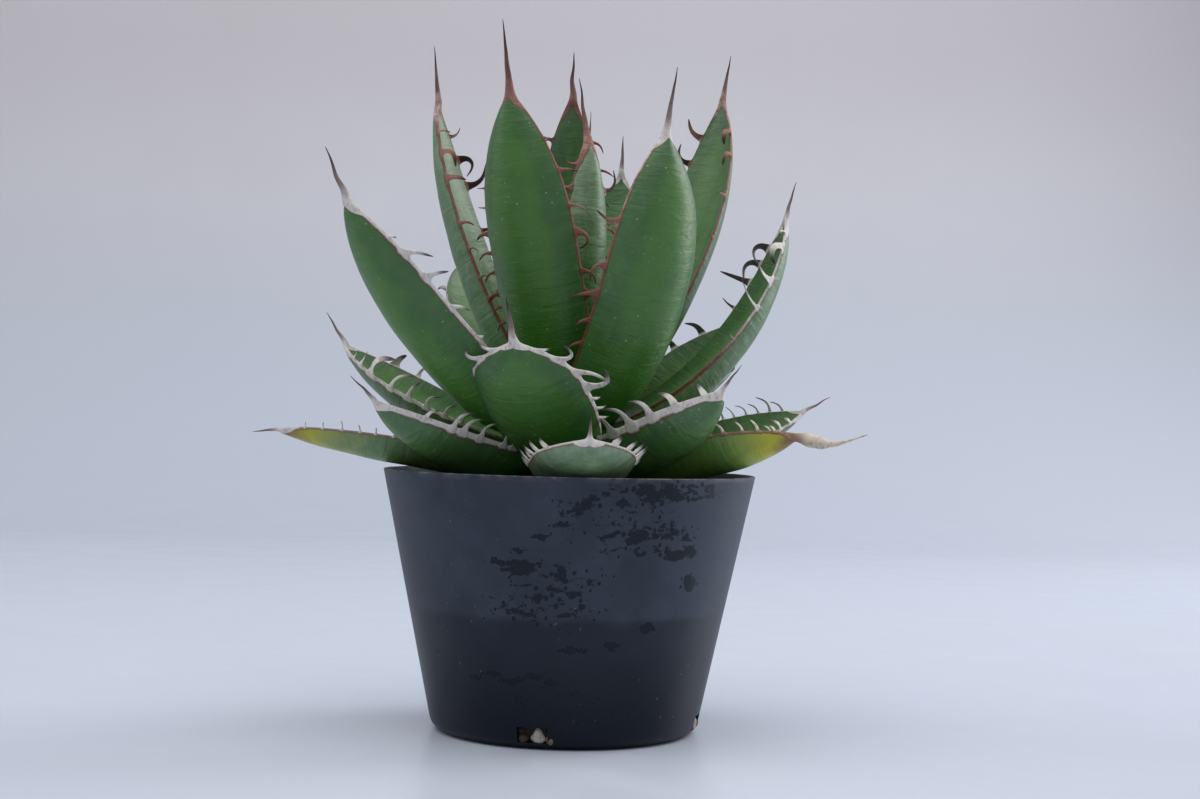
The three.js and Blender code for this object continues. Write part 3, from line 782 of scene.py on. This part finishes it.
def sweep_paper():
    shade = Shader("sweep_paper", Specular_IOR_Level=0.35)
    spot = shade.place()
    height = shade.node("ShaderNodeSeparateXYZ", {0: spot}).outputs["Z"]
    tint = shade.blend(shade.range(height, 0.0, 0.55), PAPER_LOW, PAPER_HIGH)
    mist = shade.range(shade.noise(spot, 3, 2), 0.3, 0.7, 0.0, 0.25)
    shade.feed("Base Color", shade.blend(mist, tint, PAPER_MIST))
    shade.feed("Roughness", shade.range(shade.noise(spot, 25, 3), 0.3, 0.7, 0.28, 0.4))
    return shade.material


# --- Pot, soil, stem and spear, with sizes in millimetres ---

POT_SEGMENTS, SOIL_SEGMENTS, STEM_SEGMENTS = 144, 96, 48
RIM_ROUND = 0.35
HOLLOW_RADIUS, HOLLOW_DEPTH = 27, 0.4  # under the pot, inside its foot ring
SLOT_INNER_RADIUS = 36  # the slots cut nothing closer to the axis
SHARP_EDGE = math.radians(50)
SOIL_GAP = 0.4  # between the soil and the pot, so that their surfaces don't touch
SOIL_LEVEL = SOIL_TOP - 1
SOIL_RING = 1.2
GRAIN_COUNT, SMALL_GRAIN, LARGE_GRAIN = 1500, 0.45, 1.9
GRIT_REACH = 55.8
DRAIN_PEBBLES = [(2.6, 2.4), (-3.5, 1.4), (8, 1.5)]  # degrees past a slot's middle, and radius
PEBBLE_REACH = 43.2  # just inside the pot's outer skin
STEM_FOOT_RADIUS, STEM_RINGS = 12, 24
SCAR_COUNT, SCAR_HEIGHT = 12, 0.35
SPEAR_COLUMNS, SPEAR_ROWS = 32, 44
SPEAR_RADIUS, SPEAR_TIP_RADIUS = 4.9, 1.1
SPEAR_LEAN = 4
WRAP_STEP = 0.3


def pot_radius(height):
    return POT_RIM_RADIUS - (POT_HEIGHT - height) * POT_TAPER


def pot_skin(offset, heights):
    """(radius, height) up one skin of the pot from its flat base, inset by offset."""
    slope = math.atan(POT_TAPER)
    radius = POT_CORNER_RADIUS - offset
    centre = pot_radius(POT_CORNER_RADIUS) - POT_CORNER_RADIUS / math.cos(slope)
    slot_foot = math.asin((POT_CORNER_RADIUS - SLOT_BOTTOM) / radius)
    dips = sorted([mix(math.pi / 2, slope, i / 5) for i in range(6)] + [slot_foot], reverse=True)
    arc = [(centre + radius * math.cos(dip), POT_CORNER_RADIUS - radius * math.sin(dip)) for dip in dips]
    wall = [(pot_radius(height) - offset / math.cos(slope), height) for height in heights]
    return arc + wall


# Damp patches on the pot's front: azimuth, height, reach round the pot in degrees and up it, and
# strength.
DAMP_PATCHES = [
    (31, 79, 22, 3.2, 0.50), (-22, 57, 4, 1.6, 0.55), (-15, 61, 4, 1.6, 0.50), (-9, 65, 4, 1.6, 0.50),
    (-3, 69, 4, 1.6, 0.50), (2, 73, 4, 1.6, 0.52), (6, 76, 4, 1.6, 0.52), (-15, 56, 7, 2.0, 0.55),
    (22.5, 66, 2.5, 2.8, 0.55), (36, 60, 9, 2.0, 0.52), (44, 51, 4.5, 2.4, 0.55),
    (29, 38, 3.4, 2.0, 0.55), (-15, 43, 16, 6, 0.36), (2, 31, 5.5, 1.6, 0.55), (16, 33, 3, 2.2, 0.52),
    (-44, 22, 4, 1.2, 0.6), (-36, 21, 4, 1.2, 0.6), (-28, 22.5, 4, 1.2, 0.6), (-20, 21, 4, 1.2, 0.6),
    (-12, 22.5, 4, 1.2, 0.6), (-4, 21.5, 4, 1.2, 0.6), (-39, 10.5, 5, 3, 0.55), (-11, 6, 16, 3, 0.45),
    (24, 66, 24, 9, 0.36), (-4, 48, 22, 11, 0.36), (10, 74, 26, 4, 0.33), (0, 12, 50, 9, 0.30),
]
TIDE_LINE = 40.0  # below it most of the dust is washed off the pot


def pot_marks(point):
    """How damp, how dusty and how worn the pot is at a point, as one vector; the dust also carries painted
    light, paler on the pot's right side.
    """
    azimuth = math.degrees(math.atan2(point.x, -point.y))
    height = point.z / MM
    wet = 0.22 * noise.noise(point * 45) + 0.1
    for at, up, reach, tall, strength in DAMP_PATCHES:
        away = ((azimuth - at) / reach) ** 2 + ((height - up) / tall) ** 2
        wet = max(wet, strength * math.exp(-0.5 * away**1.5) + 0.1)
    line = TIDE_LINE + 1.5 * noise.noise(Vector((azimuth / 12, 0, 0)))
    washed = mix(0.03, 0.38, smooth_step(height, 5, TIDE_LINE))
    dust_and_light = mix(washed, 1.0, smooth_step(height, line - 1.2, line + 1.2))
    # Painted light: more dust towards the pot's right side, standing in for the light that falls on that
    # side.
    dust_and_light *= 1 + 0.4 * smooth_step(azimuth, 15, 50)
    rim = smooth_step(height, POT_HEIGHT - 0.5, POT_HEIGHT - 0.1)
    return wet, dust_and_light, rim


def pot_piece(material):
    rings = [SLOT_TOP] + list(range(9, int(POT_HEIGHT), 2)) + [POT_HEIGHT - RIM_ROUND]
    outside = pot_skin(0, rings)
    inside = pot_skin(POT_WALL, rings)
    outer, inner = outside[-1][0], inside[-1][0]
    rim = [(outer - 0.1, POT_HEIGHT - 0.1), (outer - RIM_ROUND, POT_HEIGHT),
           (inner + RIM_ROUND, POT_HEIGHT), (inner + 0.1, POT_HEIGHT - 0.1)]
    underside = [(0, HOLLOW_DEPTH), (HOLLOW_RADIUS, HOLLOW_DEPTH), (HOLLOW_RADIUS + 1, 0.0)]
    profile = underside + outside + rim + inside[::-1] + [(0, POT_WALL)]
    half_segment = 180 / POT_SEGMENTS  # with this turn, each slot takes out five whole segments
    bm = spun(profile, POT_SEGMENTS, math.radians(half_segment))
    cut_slots(bm)
    marks = bm.verts.layers.float_vector.new("pot_marks")
    for v in bm.verts:
        v[marks] = pot_marks(v.co)
    finished_piece("nursery_pot", bm, material, "pot")


def cut_slots(bm):
    """Opens the drain slots through both skins of the pot, and walls their sides."""
    for azimuth in SLOT_AZIMUTHS:
        doomed = []
        for face in bm.faces:
            middle = face.calc_center_median()
            off = math.degrees(math.atan2(middle.x, -middle.y)) - azimuth
            low, high = min(v.co.z for v in face.verts), max(v.co.z for v in face.verts)
            in_slot = low > (SLOT_BOTTOM - 0.01) * MM and high < (SLOT_TOP + 0.01) * MM
            in_slot = in_slot and abs(off) < SLOT_HALF_ANGLE
            if in_slot and middle.xy.length > SLOT_INNER_RADIUS * MM:
                doomed.append(face)
        bmesh.ops.delete(bm, geom=doomed, context="FACES")
        bmesh.ops.bridge_loops(bm, edges=[e for e in bm.edges if e.is_boundary])
    for edge in bm.edges:
        if len(edge.link_faces) == 2 and edge.calc_face_angle() > SHARP_EDGE:
            edge.smooth = False


def soil_piece(material):
    inset = POT_WALL + SOIL_GAP
    wall = pot_skin(inset, [SLOT_TOP, 20, 40, 60, SOIL_LEVEL])
    edge = wall[-1][0]
    top = [(edge - SOIL_RING * i, SOIL_LEVEL) for i in range(1, int(edge / SOIL_RING))]
    bm = spun([(0, inset)] + wall + top + [(0, SOIL_LEVEL)], SOIL_SEGMENTS)
    for v in bm.verts:
        if v.co.z > (SOIL_LEVEL - 0.1) * MM:
            v.co.z += (0.9 * noise.fractal(v.co * 220, 0.7, 2.0, 3)) * MM
    finished_piece("potting_soil", bm, material, "soil")


def grit_piece(material):
    """Loose grains of bark, lava and pumice on the soil."""
    chance = random.Random(5)
    bm = bmesh.new()
    tone = bm.verts.layers.float_vector.new("grit_tone")
    for _ in range(GRAIN_COUNT):
        radius = 57.0 * math.sqrt(chance.uniform(0.05, 1)) - 1.5
        size = mix(SMALL_GRAIN, LARGE_GRAIN, chance.random() ** 3)
        at = direction(chance.uniform(0, 360)) * min(radius, GRIT_REACH - size)
        at.z = SOIL_LEVEL + size * 0.35
        turn = Matrix.Rotation(chance.uniform(0, 6.3), 3, Vector((chance.random(), chance.random(), 1)))
        squash = Matrix.Diagonal((1, chance.uniform(0.6, 1), chance.uniform(0.5, 0.9)))
        shape = Matrix.Translation(at * MM) @ (turn @ squash).to_4x4()
        grain = bmesh.ops.create_icosphere(bm, subdivisions=1, radius=size * MM, matrix=shape)
        mark = chance.random()
        for v in grain["verts"]:
            v.co += Vector((chance.uniform(-1, 1) for _ in range(3))) * size * 0.13 * MM
            v[tone] = (mark, 0, 0)
    finished_piece("soil_grit", bm, material)


def drain_pebbles(material):
    """Pale pebbles that show in the drain slots."""
    chance = random.Random(8)
    bm = bmesh.new()
    tone = bm.verts.layers.float_vector.new("grit_tone")
    for azimuth in SLOT_AZIMUTHS:
        for shift, size in DRAIN_PEBBLES:
            at = direction(azimuth + shift) * (PEBBLE_REACH - size)
            at.z = SLOT_BOTTOM + size * 0.8
            seat = Matrix.Translation(at * MM)
            made = bmesh.ops.create_icosphere(bm, subdivisions=3, radius=size * MM, matrix=seat)
            mark = 0.95 if size > 2 else chance.uniform(0.2, 0.7)
            for v in made["verts"]:
                v.co += (v.co - at * MM) * 0.35 * noise.noise(v.co * 400)
                v[tone] = (mark, 0, 0)
    finished_piece("drain_pebbles", bm, material)


def stem_piece(material):
    """The woody stem, ringed with the scars of old leaves."""
    low, high = STEM_LOW, STEM_HIGH
    profile = [(0, STEM_FOOT), (STEM_FOOT_RADIUS, STEM_FOOT)]
    for i in range(STEM_RINGS + 1):
        t = i / STEM_RINGS
        scar = SCAR_HEIGHT * abs(math.sin(t * SCAR_COUNT * math.pi))
        profile.append((mix(low[0], high[0], t) - 0.4 + scar, mix(low[1], high[1], t)))
    profile.append((0, high[1]))
    bm = spun(profile, STEM_SEGMENTS)
    for v in bm.verts:
        v.co.xy += v.co.xy * 0.03 * noise.noise(v.co * 300)
    finished_piece("woody_stem", bm, material, "stem")


def spear_piece(material):
    """The closed bud: leaves rolled round each other, with one overlapping edge that winds up it."""
    bm = bmesh.new()
    place, horn, habit = leaf_layers(bm)
    around = SPEAR_COLUMNS
    bmesh.ops.create_grid(bm, x_segments=around, y_segments=SPEAR_ROWS, size=1)
    height = SPEAR_TOP - SPEAR_BOTTOM
    for v in bm.verts:
        column = round((v.co.x + 1) / 2 * around) % around
        t = (v.co.y + 1) / 2
        angle = 2 * math.pi * column / around
        radius = mix(SPEAR_RADIUS, SPEAR_TIP_RADIUS, clamp(t / 0.8) ** 2)
        radius *= 0.6 + 0.4 * smooth_step(t, 0, 0.25)
        radius *= mix(1, 0.08, smooth_step(t, 0.82, 1) ** 0.7)
        turn = (column / around + t * 1.3) % 1
        wrap = WRAP_STEP * (turn - 0.5) * smooth_step(t, 0, 0.1)
        radius += wrap * (1 - smooth_step(t, 0.6, 0.85))
        x = radius * math.sin(angle) + SPEAR_LEAN * smooth_step(t, 0.5, 1)
        v.co = Vector((x, -radius * math.cos(angle), SPEAR_BOTTOM + height * t)) * MM
        v[place] = (radius * angle, height * t, 1)
        v[horn] = (mix(-6, DEEP_IN_HORN, smooth_step(t, 0.7, 0.94)), smooth_step(t, 0.85, 1), t)
        v[habit] = (0, 0, 0.6)
    bmesh.ops.remove_doubles(bm, verts=bm.verts[:], dist=1e-7)
    bmesh.ops.holes_fill(bm, edges=[e for e in bm.edges if e.is_boundary], sides=0)
    bmesh.ops.recalc_face_normals(bm, faces=bm.faces[:])
    finished_piece("agave_central_spear", bm, material, "central_spear")


# --- Studio, with sizes in metres ---

ROOM_COLOUR, ROOM_STRENGTH = (0.84, 0.85, 0.90), 0.38
PLANT_MIDDLE = Vector((0, 0, 0.12))
# The area lights, all aimed at the plant's middle: place, width and height, power and tint.
LIGHTS = {
    "overhead": ((0, -0.3, 1.5), (2.0, 1.6), 17, (1, 1, 1)),
    "left_window": ((-1.3, 0.1, 0.8), (0.9, 1.2), 4, (0.94, 0.97, 1.0)),
    "right_window": ((1.1, 0.5, 0.55), (0.7, 1.0), 9.5, (0.97, 0.98, 1.0)),
}
FLOOR_FRONT, FLOOR_BACK = -2.0, 0.9
SWEEP_BEND, SWEEP_STEPS = 0.5, 12
SWEEP_TOP, SWEEP_HALF_WIDTH = 2.6, 3.0


def sweep():
    """One pale sheet: the floor, curving up into the backdrop."""
    bm = bmesh.new()
    profile = [(FLOOR_FRONT, 0.0), (FLOOR_BACK, 0.0)]
    for i in range(1, SWEEP_STEPS + 1):
        angle = math.pi / 2 * i / SWEEP_STEPS
        profile.append((FLOOR_BACK + SWEEP_BEND * math.sin(angle), SWEEP_BEND * (1 - math.cos(angle))))
    profile.append((FLOOR_BACK + SWEEP_BEND, SWEEP_TOP))
    verts = [bm.verts.new((-SWEEP_HALF_WIDTH, y, z)) for y, z in profile]
    edges = [bm.edges.new(pair) for pair in zip(verts, verts[1:])]
    drawn = bmesh.ops.extrude_edge_only(bm, edges=edges)["geom"]
    far_side = [item for item in drawn if isinstance(item, bmesh.types.BMVert)]
    bmesh.ops.translate(bm, vec=(2 * SWEEP_HALF_WIDTH, 0, 0), verts=far_side)
    bmesh.ops.recalc_face_normals(bm, faces=bm.faces[:])
    if sum(face.normal.z for face in bm.faces) < 0:
        bmesh.ops.reverse_faces(bm, faces=bm.faces[:])
    sheet = smooth_object("studio_sweep", bm, sweep_paper())


def soft_light(name, place, size, power, tint):
    light = bpy.data.lights.new(name, "AREA")
    light.shape = "RECTANGLE"
    light.size, light.size_y = size
    light.energy = power
    light.color = tint
    lamp = bpy.data.objects.new(name, light)
    lamp.location = place
    lamp.rotation_euler = (PLANT_MIDDLE - Vector(place)).to_track_quat("-Z", "Y").to_euler()
    bpy.context.scene.collection.objects.link(lamp)


def studio_light():
    world = bpy.data.worlds.new("soft_room")
    world.use_nodes = True
    background = world.node_tree.nodes["Background"]
    background.inputs["Color"].default_value = colour(ROOM_COLOUR)
    background.inputs["Strength"].default_value = ROOM_STRENGTH
    bpy.context.scene.world = world
    for name, (place, size, power, tint) in LIGHTS.items():
        soft_light(name, place, size, power, tint)


def photo_camera():
    forward = Vector((
        math.sin(CAMERA_YAW) * math.cos(CAMERA_PITCH),
        math.cos(CAMERA_YAW) * math.cos(CAMERA_PITCH),
        math.sin(CAMERA_PITCH),
    ))
    level = Vector((math.cos(CAMERA_YAW), -math.sin(CAMERA_YAW), 0))
    lift = level.cross(forward)
    right = level * math.cos(CAMERA_ROLL) + lift * math.sin(CAMERA_ROLL)
    up = lift * math.cos(CAMERA_ROLL) - level * math.sin(CAMERA_ROLL)
    data = bpy.data.cameras.new("photo_camera")
    data.lens = CAMERA_LENS
    camera = bpy.data.objects.new("photo_camera", data)
    turn = Matrix((right, up, -forward)).transposed()
    camera.matrix_world = Matrix.Translation((0, -CAMERA_DISTANCE, CAMERA_HEIGHT)) @ turn.to_4x4()
    bpy.context.scene.collection.objects.link(camera)
    bpy.context.scene.camera = camera


# --- The whole scene ---

photo_camera()
studio_light()
sweep()
bpy.context.scene.view_settings.view_transform = "Standard"
skin = leaf_skin()
for number, leaf in enumerate(LEAVES, 1):
    leaf_piece(number, leaf, skin)
spear_piece(skin)
stem_piece(stem_bark())
pot_piece(pot_plastic())
soil_piece(soil_mix())
stones = grit()
grit_piece(stones)
drain_pebbles(stones)
